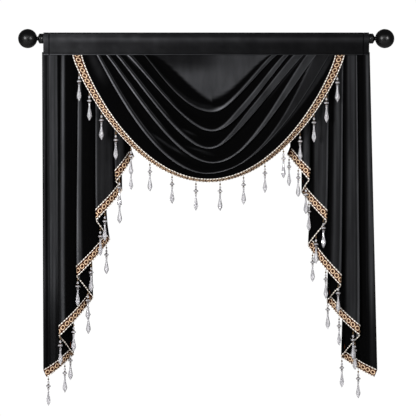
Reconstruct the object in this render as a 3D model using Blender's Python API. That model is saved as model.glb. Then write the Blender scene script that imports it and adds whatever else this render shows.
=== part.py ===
"""A beaded window valance on its curtain rod.

A rod with ball finials carries a flat header, sewn as a pocket round it. Between the two walls of the
header hang a swag in five soft folds and, behind it, two pleated side cascades. A braid with bead drops
is sewn on the face of each lower edge. Metres, +Z up: the rod's axis runs along X through the origin,
and the front faces -Y.
"""

import math

import bpy
from mathutils import Vector

# Driving dimensions
GAP = 0.0003  # between touching pieces
CLOTH = 0.0012  # thickness of the swag's and the cascades' velvet
ROD_RADIUS = 0.016
ROD_HALF_LENGTH = 0.601
HEADER_HALF_WIDTH = 0.600
HEADER_CLOTH = 0.0015  # the header is stiffened
HEADER_TOP = 0.0225  # its crease stands above the rod
HEADER_BOTTOM = -0.0605
TUCK_TOP = -0.0500  # the hung pieces are sewn in between the header's walls up to here
TUCK_END = -0.0615  # and hang free from here down
TRIM_WIDTH = 0.0285
TRIM_CLOTH = 0.0012
DROP_ROOT = 0.0020  # how far a drop's thread is caught in the braid
FINIAL_BALL_RADIUS = 0.034
FINIAL_BALL_CENTRE = 0.6585  # from the middle of the rod
HEADER_FRONT_FOOT = -0.01005  # depth of the header's two walls at their bottom edges
HEADER_BACK_FOOT = 0.00955

TRIM_LOW = CLOTH / 2 + GAP  # the braid's back and front, from the middle of the cloth
TRIM_HIGH = TRIM_LOW + TRIM_CLOTH


# Surfaces. A surface is a list of points and of quads, whose face side is the cloth's right side.


def grid_quads(rows, columns, flipped=False):
    quads = []
    for row in range(rows - 1):
        for column in range(columns - 1):
            here = row * columns + column
            quad = (here, here + columns, here + columns + 1, here + 1)
            quads.append(quad[::-1] if flipped else quad)
    return quads


def point_normals(points, quads):
    normals = [Vector((0, 0, 0)) for _ in points]
    for a, b, c, d in quads:
        across = (points[c] - points[a]).cross(points[d] - points[b]).normalized()
        for corner in (a, b, c, d):
            normals[corner] += across
    return [normal.normalized() for normal in normals]


def between(surface, low, high):
    """The points and triangles of a closed sheet from low to high along a surface's normals."""
    points, normals, quads = surface
    used = sorted({corner for quad in quads for corner in quad})
    place = {corner: index for index, corner in enumerate(used)}
    solid = [points[i] + normals[i] * high for i in used]
    solid += [points[i] + normals[i] * low for i in used]
    behind = len(used)
    faces = []
    edges = {}
    for quad in quads:
        a, b, c, d = (place[corner] for corner in quad)
        for triangle in ((a, b, c), (a, c, d)):
            faces.append(triangle)
            faces.append(tuple(corner + behind for corner in reversed(triangle)))
        for start, end in ((a, b), (b, c), (c, d), (d, a)):
            edges[start, end] = True
    for start, end in edges:
        if (end, start) not in edges:
            faces.append((end, start, start + behind))
            faces.append((end, start + behind, end + behind))
    return solid, faces


def finish(name, points, faces, colour, roughness, metallic=0.0, smooth=True):
    mesh = bpy.data.meshes.new(name)
    mesh.from_pydata(points, [], faces)
    if smooth:
        mesh.shade_smooth()
        mesh.set_sharp_from_angle(angle=math.radians(40))
    material = bpy.data.materials.new(name)
    material.use_nodes = True
    shader = material.node_tree.nodes["Principled BSDF"]
    shader.inputs["Base Color"].default_value = (*colour, 1)
    shader.inputs["Roughness"].default_value = roughness
    shader.inputs["Metallic"].default_value = metallic
    mesh.materials.append(material)
    piece = bpy.data.objects.new(name, mesh)
    bpy.context.scene.collection.objects.link(piece)
    return piece


def blend(start, end, share):
    return start + (end - start) * share


# Rod and finials


def turned(name, side, profile, sides):
    """A solid turned about the X axis. The profile's rows are (distance along side, radius)."""
    points = []
    faces = []
    for reach, radius in profile:
        for step in range(sides):
            turn = 2 * math.pi * step / sides
            points.append(Vector((side * reach, radius * math.cos(turn), radius * math.sin(turn))))
    for ring in range(len(profile) - 1):
        for step in range(sides):
            a = ring * sides + step
            b = ring * sides + (step + 1) % sides
            faces.append((a, b, b + sides, a + sides) if side > 0 else (b, a, a + sides, b + sides))
    first = tuple(range(sides))
    last = tuple(range(len(points) - sides, len(points)))
    faces.append(first[::-1] if side > 0 else first)
    faces.append(last if side > 0 else last[::-1])
    return finish(name, points, faces, colour=(0.012, 0.012, 0.013), roughness=0.22, metallic=0.6)


def finial_profile():
    socket = ROD_HALF_LENGTH + GAP
    rows = [
        (socket, 0.0165),
        (socket + 0.001, 0.0175),
        (socket + 0.012, 0.0175),
        (socket + 0.016, 0.0152),
        (socket + 0.019, 0.0095),
        (socket + 0.021, 0.0070),
        (socket + 0.024, 0.0070),
    ]
    steps = 11
    first_turn = math.radians(17)
    for step in range(steps):
        turn = blend(first_turn, math.radians(175), step / (steps - 1))
        reach = FINIAL_BALL_CENTRE - FINIAL_BALL_RADIUS * math.cos(turn)
        rows.append((reach, FINIAL_BALL_RADIUS * math.sin(turn)))
    return rows


def build_rod():
    turned("rod", 1, [(-ROD_HALF_LENGTH, ROD_RADIUS), (ROD_HALF_LENGTH, ROD_RADIUS)], 40)
    turned("finial_left", -1, finial_profile(), 20)
    turned("finial_right", 1, finial_profile(), 20)


# Header: one stiffened strip, folded over the rod with a crease on top


def build_header():
    wrap = ROD_RADIUS + 1.5 * GAP + HEADER_CLOTH / 2  # radius of the strip's middle round the rod
    crease = HEADER_TOP - HEADER_CLOTH / 2
    leaves_rod = 90 - math.degrees(math.acos(wrap / crease))
    turns = [-8, 7, 22, 37, leaves_rod]
    section = [(HEADER_FRONT_FOOT, HEADER_BOTTOM)]
    for turn in turns:
        section.append((-wrap * math.cos(math.radians(turn)), wrap * math.sin(math.radians(turn))))
    section.append((0, crease))
    for turn in reversed(turns):
        section.append((wrap * math.cos(math.radians(turn)), wrap * math.sin(math.radians(turn))))
    section.append((HEADER_BACK_FOOT, HEADER_BOTTOM))
    columns = (-HEADER_HALF_WIDTH, HEADER_HALF_WIDTH)
    points = [Vector((x, y, z)) for y, z in section for x in columns]
    quads = grid_quads(len(section), len(columns), flipped=True)
    surface = (points, point_normals(points, quads), quads)
    points, faces = between(surface, -HEADER_CLOTH / 2, HEADER_CLOTH / 2)
    finish("header", points, faces, colour=(0.02, 0.02, 0.022), roughness=0.8)


# Bead drops: four-sided strands that hang from the braid's lower edge

# (distance below the edge, radius): thread, small bead, cut bead, small bead, teardrop
THREAD_RADIUS = 0.0005
DROP_ROWS = [
    (0.0012, THREAD_RADIUS),
    (0.0190, THREAD_RADIUS),
    (0.0215, 0.0026),
    (0.0260, 0.0008),
    (0.0350, 0.0072),
    (0.0410, 0.0014),
    (0.0460, 0.0036),
    (0.0510, 0.0013),
    (0.0720, 0.0042),
    (0.0905, 0.0074),
    (0.1010, 0.0052),
]
DROP_LENGTH = 0.1075
DROP_SIDES = 4


def drop(root, edge_point):
    """The points and faces of a drop whose thread starts at root, inside the braid."""
    points = []
    faces = []
    rows = [(root, THREAD_RADIUS)]
    rows += [(edge_point - Vector((0, 0, below)), radius) for below, radius in DROP_ROWS]
    for centre, radius in rows:
        for step in range(DROP_SIDES):
            turn = 2 * math.pi * step / DROP_SIDES
            points.append(centre + Vector((radius * math.cos(turn), radius * math.sin(turn), 0)))
    for ring in range(len(rows) - 1):
        for step in range(DROP_SIDES):
            a = ring * DROP_SIDES + step
            b = ring * DROP_SIDES + (step + 1) % DROP_SIDES
            faces.append((b, a, a + DROP_SIDES, b + DROP_SIDES))
    faces.append(tuple(range(DROP_SIDES)))
    tip = len(points)
    points.append(edge_point - Vector((0, 0, DROP_LENGTH)))
    last = tip - DROP_SIDES
    for step in range(DROP_SIDES):
        faces.append((last + (step + 1) % DROP_SIDES, last + step, tip))
    return points, faces


def build_trim(name, surface, lower_edge, upper_edge, drop_places):
    """A braid on the face side of a hem band, with a drop fused into its lower edge at each place.

    The edges list the band's points, and a place is (first index, second index, share)."""
    points, normals, _ = surface
    solid, faces = between(surface, TRIM_LOW, TRIM_HIGH)
    braid = finish(name, solid, faces, colour=(0.42, 0.29, 0.15), roughness=0.6, metallic=0.3)
    middle = (TRIM_LOW + TRIM_HIGH) / 2
    strands = []
    strand_faces = []
    for first, second, share in drop_places:
        low, high = (
            blend(
                points[edge[first]] + normals[edge[first]] * middle,
                points[edge[second]] + normals[edge[second]] * middle,
                share,
            )
            for edge in (lower_edge, upper_edge)
        )
        root = low + (high - low).normalized() * DROP_ROOT
        new_points, new_faces = drop(root, low)
        offset = len(strands)
        strands += new_points
        strand_faces += [tuple(corner + offset for corner in face) for face in new_faces]
    cutter = finish(name + "_drops", strands, strand_faces, (0.8, 0.8, 0.85), 0.1, smooth=False)
    cutter.hide_render = True
    cutter.display_type = "WIRE"
    union = braid.modifiers.new("fuse drops", "BOOLEAN")
    union.operation = "UNION"
    union.object = cutter


# Swag: one cloth, hung in folds between two rows of pleats under the header

# Each guide is a line across the swag, from the header down to its lowest point and up again.
# left and right are where it leaves the header, low_x and low_z its lowest point, round_left and
# round_right how softly each half is bent (small is a V), full how far it is fuller than that,
# forward how far it swells at its lowest point, and lift how far its fold stands off there.
SWAG_GUIDES = [
    # left, right, low_x, low_z, round_left, round_right, full, forward, lift
    (-0.1850, 0.2240, 0.0110, -0.0616, 3.0, 3.0, 1.0, 0.000, 0.000),  # top edge
    (-0.2341, 0.2666, 0.0111, -0.2658, 0.50, 0.28, 1.0, 0.038, 0.018),  # fold 1
    (-0.2817, 0.3090, 0.0192, -0.3399, 0.38, 0.30, 1.0, 0.050, 0.022),  # fold 2
    (-0.3259, 0.3440, 0.0063, -0.4026, 0.38, 0.22, 1.0, 0.060, 0.020),  # fold 3
    (-0.3599, 0.4026, 0.0258, -0.4553, 0.80, 0.45, 1.0, 0.068, 0.017),  # fold 4
    (-0.3938, 0.4446, 0.0063, -0.4948, 3.0, 3.0, 1.0, 0.075, 0.012),  # fold 5
    (-0.4601, 0.4778, 0.0085, -0.5140, 3.0, 3.0, 1.2, 0.080, 0.006),  # top of the braid
    (-0.4937, 0.5114, 0.0085, -0.5283, 3.0, 3.0, 1.2, 0.058, 0.000),  # hem, rolled under
]
SWAG_HANG = -0.0040  # where the swag lies between the header's walls
SWAG_FREE = -0.0660  # it swells forward from this height down
FLAT_LIFT = 0.0012  # how far it stands off at the header, where it is flat and where it is pleated
PLEAT_LIFT = 0.0044
PLEATS = (0.6, 5.2)  # the first and last place that is pleated
SWELL = 0.65  # how fast it swells forward below the header, and how fast its folds grow
LIFT = 0.5
FIRST_FOLD = 1
LAST_FOLD = 5
BRAID_TOP = 6
HEM = 7

# A row across the swag: (place between guides, share of the lift). A fold ends in its lip, goes
# back under itself to its throat and comes out again as the belly of the next.
FOLD_ROWS = [(-0.08, 0.00), (0.30, 0.10), (0.62, 0.68), (0.88, 1.00), (1.00, 0.80)]
SWAG_ROWS = [(0.0, 0.0), (0.30, 0.0), (0.58, 0.05), (0.88, 1.0), (1.0, 0.80)]
for fold in range(FIRST_FOLD, LAST_FOLD):
    SWAG_ROWS += [(fold + place, share) for place, share in FOLD_ROWS]
SWAG_ROWS += [(LAST_FOLD - 0.08, 0.0), (LAST_FOLD + 0.5, 0.6), (BRAID_TOP, 1.0), (HEM, 0.0)]
SWAG_COLUMNS = 33
SWAG_SPREAD = math.radians(72)  # the columns lie closer towards the header


def guide_values(place):
    """The guide's numbers at a place between two guides."""
    first = min(max(int(math.floor(place)), 0), HEM - 1)
    return [blend(a, b, place - first) for a, b in zip(SWAG_GUIDES[first], SWAG_GUIDES[first + 1])]


def bend(across, roundness):
    """0 at a guide's lowest point and 1 at the header: a hyperbola that turns into a parabola."""
    return (math.hypot(across, roundness) - roundness) / (math.hypot(1, roundness) - roundness)


def swag_point(place, share, across):
    """A point of the swag; across runs from -1 at the left of the header to 1 at its right."""
    left, right, low_x, low_z, round_left, round_right, full, forward, lift = guide_values(place)
    roundness = round_left if across < 0 else round_right
    depth = max(0.0, 1 - bend(abs(across), roundness)) ** (1 / full)
    x = low_x + abs(across) * ((left if across < 0 else right) - low_x)
    z = blend(TUCK_END, low_z, depth)
    hung = max(0.0, (SWAG_FREE - z) / max(SWAG_FREE - low_z, 0.01))
    pleat = PLEAT_LIFT if PLEATS[0] < place < PLEATS[1] else FLAT_LIFT
    stands = blend(pleat, lift, hung**LIFT) if lift > 0 else 0.0
    return Vector((x, SWAG_HANG - forward * hung**SWELL - stands * share, z))


def build_swag():
    columns = SWAG_COLUMNS
    turns = [SWAG_SPREAD * (2 * step / (columns - 1) - 1) for step in range(columns)]
    across = [math.sin(turn) / math.sin(SWAG_SPREAD) for turn in turns]
    points = [swag_point(place, share, out) for place, share in SWAG_ROWS for out in across]
    rows = len(SWAG_ROWS)
    quads = grid_quads(rows, columns)
    # the edge that is sewn into the header, from the left hem along the top to the right hem
    edge = [row * columns for row in range(rows - 1, 0, -1)]
    edge += list(range(columns))
    edge += [row * columns + columns - 1 for row in range(1, rows)]
    tucked = {}
    for corner in edge:
        tucked[corner] = len(points)
        points.append(Vector((points[corner].x, points[corner].y, TUCK_TOP)))
    for start, end in zip(edge, edge[1:]):
        quads.append((tucked[start], start, end, tucked[end]))
    normals = point_normals(points, quads)
    solid, faces = between((points, normals, quads), -CLOTH / 2, CLOTH / 2)
    finish("swag", solid, faces, colour=(0.012, 0.012, 0.013), roughness=0.85)

    hem_row = (rows - 1) * columns
    band = {hem_row - columns + column for column in range(columns)}
    band |= {hem_row + column for column in range(columns)}
    band |= {tucked[corner] for corner in band if corner in tucked}
    band_quads = [quad for quad in quads if band.issuperset(quad)]
    lower_edge = [hem_row + column for column in range(columns)]
    upper_edge = [corner - columns for corner in lower_edge]
    places = [find_drop(points, lower_edge, x) for x in SWAG_DROPS]
    build_trim("trim_swag", (points, normals, band_quads), lower_edge, upper_edge, places)


# Where the swag's drops hang, along X
SWAG_DROPS = [
    -0.4690, -0.4310, -0.3860, -0.3344, -0.2754, -0.2061, -0.1250, -0.0376,
    0.0509, 0.1368, 0.2150, 0.2832, 0.3444, 0.3956, 0.4417, 0.4823,
]  # fmt: skip


def find_drop(points, lower_edge, x):
    """The two points of an edge that x lies between, and its share of the way."""
    for first in range(len(lower_edge) - 1):
        start, end = points[lower_edge[first]].x, points[lower_edge[first + 1]].x
        if start != end and min(start, end) <= x <= max(start, end):
            return first, first + 1, (x - start) / (end - start)
    raise ValueError(f"no place for a drop at {x}")


# Cascades: one cloth each, pleated back and forth, cut on a slant

# A row for each fold, from the free inner edge outwards. place is "back" for a fold on the inner
# side and "front" for one on the outer side, top and hem are how far from the middle the fold lies
# at the header and at the hem, height is the hem's height there, and flare is how far the fold
# swings inwards just above the hem.
# place, top, hem, height, flare
LEFT_FOLDS = [
    ("back", 0.285, 0.2779, -0.4347, 0.0),
    ("front", 0.345, 0.3344, -0.5287, 0.0),
    ("back", 0.318, 0.3112, -0.5619, 0.0),
    ("front", 0.4075, 0.4070, -0.6707, 0.0),
    ("back", 0.385, 0.3565, -0.7444, 0.0115),
    ("front", 0.4740, 0.4808, -0.8808, 0.0),
    ("back", 0.440, 0.4196, -0.9601, 0.0),
    ("front", 0.5420, 0.5438, -1.1002, 0.0),
    ("back", 0.510, 0.4911, -1.1703, 0.0),
    ("front", 0.5995, 0.5991, -1.2477, 0.0),
]
RIGHT_FOLDS = [
    ("back", 0.316, 0.3150, -0.4262, 0.0),
    ("front", 0.380, 0.3742, -0.5221, 0.0),
    ("back", 0.352, 0.3528, -0.5693, 0.0),
    ("front", 0.4483, 0.4432, -0.6740, 0.0),
    ("back", 0.412, 0.3768, -0.7669, 0.0),
    ("front", 0.5044, 0.4963, -0.9140, 0.0),
    ("back", 0.472, 0.4472, -0.9748, 0.0),
    ("front", 0.5589, 0.5707, -1.0965, 0.0),
    ("back", 0.528, 0.5007, -1.1784, 0.0),
    ("front", 0.5977, 0.6286, -1.2466, 0.0),
]
FLARE_POWER = 12  # the higher, the nearer to the hem a flare starts
INNER_CUT = 0.0150  # the hem's ends are cut square to it, so their lower corners lie further in
OUTER_CUT = 0.0115
# Where the drops hang: (stretch of hem between two folds, from the inner edge; distance from middle)
LEFT_DROPS = [
    (0, 0.2780), (0, 0.3197), (2, 0.3204), (2, 0.3735), (3, 0.3905), (4, 0.3694), (4, 0.4240),
    (4, 0.4764), (5, 0.4376), (6, 0.4370), (6, 0.4885), (6, 0.5368), (7, 0.5029), (8, 0.5236),
    (8, 0.5811),
]  # fmt: skip
RIGHT_DROPS = [
    (0, 0.3064), (0, 0.3396), (1, 0.3676), (2, 0.3790), (2, 0.4317), (3, 0.4056), (4, 0.3938),
    (4, 0.4410), (4, 0.4859), (5, 0.4502), (6, 0.4911), (6, 0.5409), (7, 0.5486), (8, 0.5036),
    (8, 0.5615),
]  # fmt: skip
# How deep the folds' middles lie and how round they are, at the header and a metre below it
# place, depth at the header, depth below, radius at the header, radius below
FOLD_DEPTHS = [
    ("front", -0.0010, -0.0050, 0.0009, 0.0050),
    ("back", 0.0070, 0.0500, 0.0009, 0.0080),
]
SWELL_BELOW = 0.004  # how far each front panel swells in its middle, a metre below
PANEL_CURVE = 1.5  # 1 is a straight panel
FOLD_TURNS = (-90, -45, 0, 45, 90)
PANEL_STEPS = (0.2, 0.4, 0.6, 0.8)
RETURN_STEPS = (0.33, 0.67)
CASCADE_LEVELS = (0.0, 0.3, 0.6)  # shares of the way from the header to the braid


def cascade_plan(folds, height):
    """The cloth's run at one height, from the inner edge outwards, as (distance, depth) points.

    Returns the points and, for each, its place along the folds: a whole number at a fold."""
    down = max(0.0, TUCK_END - height)
    bends = {
        place: (blend(depth, depth_below, down), blend(radius, radius_below, down))
        for place, depth, depth_below, radius, radius_below in FOLD_DEPTHS
    }
    run = []
    marks = []
    for number, (place, top, hem, hem_height, flare) in enumerate(folds):
        share = down / (TUCK_END - hem_height)
        reach = blend(top, hem + flare, share) - flare * min(share, 1) ** FLARE_POWER
        depth, bend_radius = bends[place]
        outer = 1 if place == "front" else -1
        ends = number in (0, len(folds) - 1)
        if ends:
            fold = [(reach, depth - outer * bend_radius)]
        else:
            fold = []
            for turn in FOLD_TURNS:
                angle = math.radians(turn)
                out = reach - outer * bend_radius * (1 - math.cos(angle))
                fold.append((out, depth + bend_radius * math.sin(angle)))
        if run:
            start, end = run[-1], fold[0]
            is_panel = number % 2 == 1
            for share in PANEL_STEPS if is_panel else RETURN_STEPS:
                # steep at the back fold and level at the front one
                level = 1 - (1 - share) ** PANEL_CURVE if is_panel else share**PANEL_CURVE
                deep = blend(start[1], end[1], level)
                if is_panel:
                    deep -= SWELL_BELOW * down * math.sin(math.pi * share) ** 2
                run.append((blend(start[0], end[0], share), deep))
                marks.append(number - 1 + share)
        run += fold
        marks += [number] * len(fold)
    return run, marks


def hem_heights(folds):
    """The hem's height and slope at each point of the plan: it runs straight from fold to fold.

    Also returns the points on the folds themselves, and how far in each end's lower corner lies."""
    middle = len(FOLD_TURNS) // 2
    _, marks = cascade_plan(folds, TUCK_END)
    crowns = []
    for number in range(len(folds)):
        owned = [index for index, mark in enumerate(marks) if mark == number]
        crowns.append(owned[0] if len(owned) == 1 else owned[middle])
    cuts = {0: INNER_CUT, len(marks) - 1: OUTER_CUT}
    heights = [0.0] * len(marks)
    slopes = [0.0] * len(marks)
    for number in range(len(folds) - 1):
        first, last = crowns[number], crowns[number + 1]
        top, foot = folds[number][3], folds[number + 1][3]
        run, _ = cascade_plan(folds, (top + foot) / 2)
        start = run[first][0] - cuts.get(first, 0.0)
        across = run[last][0] - cuts.get(last, 0.0) - start
        for index in range(first, last + 1):
            share = (run[index][0] - cuts.get(index, 0.0) - start) / across
            heights[index] = blend(top, foot, share)
            slopes[index] = (top - foot) / abs(across)
    return heights, slopes, crowns, cuts


def build_cascade(name, trim_name, side, folds, drops):
    heights, slopes, crowns, cuts = hem_heights(folds)
    columns = len(heights)
    rows = [[TUCK_TOP] * columns]
    braid_tops = []
    for column, (height, slope) in enumerate(zip(heights, slopes)):
        braid_tops.append(height + TRIM_WIDTH * math.hypot(1, slope) - slope * cuts.get(column, 0.0))
    for level in CASCADE_LEVELS:
        rows.append([blend(TUCK_END, top, level) for top in braid_tops])
    rows.append(braid_tops)
    rows.append(heights)
    points = []
    for row in rows:
        for column, height in enumerate(row):
            reach, depth = cascade_plan(folds, height)[0][column]
            if row is heights:
                reach -= cuts.get(column, 0.0)
            points.append(Vector((side * reach, depth, height)))
    quads = grid_quads(len(rows), columns, flipped=side < 0)
    normals = point_normals(points, quads)
    solid, faces = between((points, normals, quads), -CLOTH / 2, CLOTH / 2)
    finish(name, solid, faces, colour=(0.014, 0.014, 0.015), roughness=0.85)

    band_start = (len(rows) - 2) * columns
    band_quads = [quad for quad in quads if min(quad) >= band_start]
    places = []
    for stretch, reach in drops:
        first = crowns[stretch]
        stretch_edge = [band_start + columns + index for index in range(first, crowns[stretch + 1] + 1)]
        start, end, share = find_drop(points, stretch_edge, side * reach)
        places.append((first + start, first + end, share))
    upper_edge = [band_start + index for index in range(columns)]
    lower_edge = [corner + columns for corner in upper_edge]
    build_trim(trim_name, (points, normals, band_quads), lower_edge, upper_edge, places)


for old in list(bpy.data.objects):
    bpy.data.objects.remove(old, do_unlink=True)
build_rod()
build_header()
build_swag()
build_cascade("cascade_left", "trim_left", -1, LEFT_FOLDS, LEFT_DROPS)
build_cascade("cascade_right", "trim_right", 1, RIGHT_FOLDS, RIGHT_DROPS)
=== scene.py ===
"""A beaded window valance on its curtain rod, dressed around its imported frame."""

import math

import bpy
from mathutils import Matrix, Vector, noise


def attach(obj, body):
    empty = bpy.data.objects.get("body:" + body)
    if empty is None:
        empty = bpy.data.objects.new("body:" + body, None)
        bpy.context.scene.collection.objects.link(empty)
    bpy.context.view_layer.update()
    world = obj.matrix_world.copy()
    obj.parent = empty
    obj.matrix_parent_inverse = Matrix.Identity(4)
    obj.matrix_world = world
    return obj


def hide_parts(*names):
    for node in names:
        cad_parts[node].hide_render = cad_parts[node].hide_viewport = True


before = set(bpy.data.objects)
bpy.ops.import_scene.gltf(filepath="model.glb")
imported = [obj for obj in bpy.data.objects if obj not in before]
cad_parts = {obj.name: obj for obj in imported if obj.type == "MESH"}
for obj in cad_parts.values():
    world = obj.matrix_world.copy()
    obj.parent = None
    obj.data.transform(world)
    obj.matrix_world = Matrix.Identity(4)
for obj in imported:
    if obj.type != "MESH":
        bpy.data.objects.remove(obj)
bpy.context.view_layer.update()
bpy.ops.object.select_all(action="DESELECT")
scene = bpy.context.scene


# The studio: a camera straight in front and far off, two square soft lights at the rod's height, two
# narrow spots on the finials, and a pale floor. The surround is white, but lights the cloth only a little.
camera = bpy.data.cameras.new("camera")
camera.lens = 200
camera.sensor_width = 36
camera_stand = bpy.data.objects.new("camera", camera)
scene.collection.objects.link(camera_stand)
camera_stand.location = (0.0066, -8.52, -0.6246)
camera_stand.rotation_euler = (math.radians(90), 0, 0)
scene.camera = camera_stand
scene.view_settings.view_transform = "Standard"


def aimed_lamp(name, kind, place, aim, power):
    """A lamp at a place, turned to shine at a point."""
    lamp = bpy.data.lights.new(name, kind)
    lamp.energy = power
    stand = bpy.data.objects.new(name, lamp)
    scene.collection.objects.link(stand)
    stand.location = place
    stand.rotation_euler = (Vector(aim) - Vector(place)).to_track_quat("-Z", "Y").to_euler()
    return lamp


def soft_light(name, place, aim, width, height, power):
    lamp = aimed_lamp(name, "AREA", place, aim, power)
    lamp.shape = "RECTANGLE"
    lamp.size = width
    lamp.size_y = height


SPOT_STAND = (2.7, -4.0, 0.20)


def finial_spot(name, aim, power):
    """A narrow spot that gives one ball its small bright point."""
    lamp = aimed_lamp(name, "SPOT", SPOT_STAND, aim, power)
    lamp.spot_size = math.radians(1.3)
    lamp.spot_blend = 0.4
    lamp.shadow_soft_size = 0.06


soft_light("left_box", (-2.7, -4.0, 0.20), (0, 0, -0.45), 0.80, 1.10, 202)
soft_light("right_box", (2.7, -4.0, 0.20), (0, 0, -0.45), 0.40, 0.55, 74)
soft_light("front_sheet", (-0.6, -5.0, 1.2), (0, 0, -0.5), 2.4, 2.0, 40)
soft_light("back_sheet", (0.8, 3.8, 0.9), (0, 0, -0.5), 1.8, 1.2, 12)
finial_spot("right_spot", (0.664, 0, 0), 620)
finial_spot("left_spot", (-0.664, 0, 0), 370)


def new_node(tree, kind, values=None, **settings):
    """A new shader node with its settings and the values on its sockets."""
    made = tree.nodes.new("ShaderNode" + kind)
    for name, value in settings.items():
        setattr(made, name, value)
    for socket, value in (values or {}).items():
        made.inputs[socket].default_value = value
    return made


def wire(tree, *runs):
    """Joins nodes: each run is a node, its output, the node after it and that one's input."""
    for start, output, end, entry in runs:
        tree.links.new(start.outputs[output], end.inputs[entry])


def new_material(name, values):
    """A material with these values on its shader's own sockets, its node tree and its shader."""
    material = bpy.data.materials.new(name)
    material.use_nodes = True
    shader = material.node_tree.nodes["Principled BSDF"]
    for socket, value in values.items():
        shader.inputs[socket].default_value = value
    return material, material.node_tree, shader


surround = bpy.data.worlds.new("surround")
scene.world = surround
surround.use_nodes = True
air = surround.node_tree
air.nodes.clear()
WHITE = (1, 1, 1, 1)
ray = new_node(air, "LightPath")
toward = new_node(air, "TexCoord")
parts = new_node(air, "SeparateXYZ")
ahead = new_node(air, "Math", operation="ABSOLUTE")
walls = new_node(air, "MapRange", {"From Min": 0.55, "From Max": 0.85, "To Min": 0.12, "To Max": 1.02},
                 interpolation_type="SMOOTHSTEP")
backdrop = new_node(air, "Background", {"Color": WHITE, "Strength": 1.02})
through = new_node(air, "Background", {"Color": WHITE})
fill = new_node(air, "Background", {"Color": WHITE, "Strength": 0.10})
glass_choice = new_node(air, "MixShader")
choice = new_node(air, "MixShader")
sky = new_node(air, "OutputWorld")
wire(air, (toward, "Generated", parts, 0), (parts, "Y", ahead, 0), (ahead, 0, walls, "Value"),
     (walls, "Result", through, "Strength"), (ray, "Is Transmission Ray", glass_choice, "Fac"),
     (fill, 0, glass_choice, 1), (through, 0, glass_choice, 2), (ray, "Is Camera Ray", choice, "Fac"),
     (glass_choice, 0, choice, 1), (backdrop, 0, choice, 2), (choice, 0, sky, "Surface"))

bpy.ops.mesh.primitive_plane_add(size=9, location=(0, 0, -2.1))
floor = bpy.context.object
floor.name = "floor"
floor_paint, _, _ = new_material("pale_floor", {"Base Color": (0.82, 0.81, 0.79, 1), "Roughness": 0.8})
floor.data.materials.append(floor_paint)


# The rod and its finials: a steel tube and two turned balls with a neck and a collar, all in satin
# black lacquer. The rod is out of sight in the header but for its ends, and the finials plug in there.
def two_tones(tree, dark, light, start=0.0, end=1.0):
    """A ramp from a dark tone to a light one."""
    ramp = new_node(tree, "ValToRGB")
    first, last = ramp.color_ramp.elements
    first.position, last.position = start, end
    first.color, last.color = (*dark, 1), (*light, 1)
    return ramp


lacquer, tree, shader = new_material("black_lacquer", {"Metallic": 0.0, "Specular IOR Level": 0.28})
where = new_node(tree, "TexCoord")
cloud = new_node(tree, "TexNoise", {"Scale": 60, "Detail": 3})
tone = two_tones(tree, (0.0004, 0.0004, 0.0005), (0.0016, 0.0016, 0.0018))
wear = new_node(tree, "MapRange", {"To Min": 0.30, "To Max": 0.37})
orange_peel = new_node(tree, "Bump", {"Strength": 0.03, "Distance": 0.0004})
wire(tree, (where, "Object", cloud, "Vector"), (cloud, "Fac", tone, "Fac"), (tone, "Color", shader, "Base Color"),
     (cloud, "Fac", wear, "Value"), (wear, "Result", shader, "Roughness"),
     (cloud, "Fac", orange_peel, "Height"), (orange_peel, "Normal", shader, "Normal"))

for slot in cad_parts["rod"].material_slots:
    slot.material = lacquer


def settle(piece):
    """Leaves a finished piece at the origin with its place in its mesh."""
    bpy.ops.object.select_all(action="DESELECT")
    piece.select_set(True)
    bpy.context.view_layer.objects.active = piece
    bpy.ops.object.transform_apply(location=True, rotation=True, scale=True)
    piece.select_set(False)
    return piece


def edit_all(piece):
    """Opens a piece for editing, with all of it selected."""
    bpy.context.view_layer.objects.active = piece
    bpy.ops.object.mode_set(mode="EDIT")
    bpy.ops.mesh.select_all(action="SELECT")


def close_outwards():
    """Turns every face of the open piece outwards and closes it."""
    bpy.ops.mesh.select_all(action="SELECT")
    bpy.ops.mesh.normals_make_consistent(inside=False)
    bpy.ops.object.mode_set(mode="OBJECT")


# distance along the rod from its end, radius: collar, neck; the ball follows
FINIAL = [
    (0.0003, 0.0174), (0.0010, 0.0184), (0.0022, 0.0188), (0.0034, 0.0186), (0.0040, 0.0184),
    (0.0105, 0.0184), (0.0112, 0.0186), (0.0124, 0.0187), (0.0136, 0.0180), (0.0154, 0.0158),
    (0.0170, 0.0126), (0.0182, 0.0098), (0.0196, 0.0078), (0.0208, 0.0072), (0.0222, 0.0073),
]
BALL_RADIUS = 0.0354
BALL_CENTRE = 0.6580
ROD_END = 0.601
FINIAL_SIDES = 64
ball_rows = [(BALL_CENTRE - ROD_END - BALL_RADIUS * math.cos(math.radians(turn)),
              BALL_RADIUS * math.sin(math.radians(turn))) for turn in range(15, 179, 7)]
for side, name in ((-1, "finial_ball_left"), (1, "finial_ball_right")):
    rows = FINIAL + ball_rows
    start = ROD_END + rows[0][0]
    bpy.ops.mesh.primitive_circle_add(vertices=FINIAL_SIDES, radius=rows[0][1], fill_type="NGON",
                                      location=(side * start, 0, 0), rotation=(0, side * math.pi / 2, 0))
    finial = bpy.context.object
    finial.name = name
    settle(finial)
    edit_all(finial)
    for (back, old), (reach, radius) in zip(rows, rows[1:]):
        bpy.ops.mesh.extrude_region_move(TRANSFORM_OT_translate={"value": (side * (reach - back), 0, 0)})
        grow = radius / old
        bpy.ops.transform.resize(value=(1, grow, grow), center_override=(side * (ROD_END + reach), 0, 0))
    close_outwards()
    finial.select_set(True)
    bpy.ops.object.shade_smooth_by_angle(angle=math.radians(40))
    finial.select_set(False)
    finial.data.materials.append(lacquer)
    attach(finial, "root")
    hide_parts("finial_left" if side < 0 else "finial_right")


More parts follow.
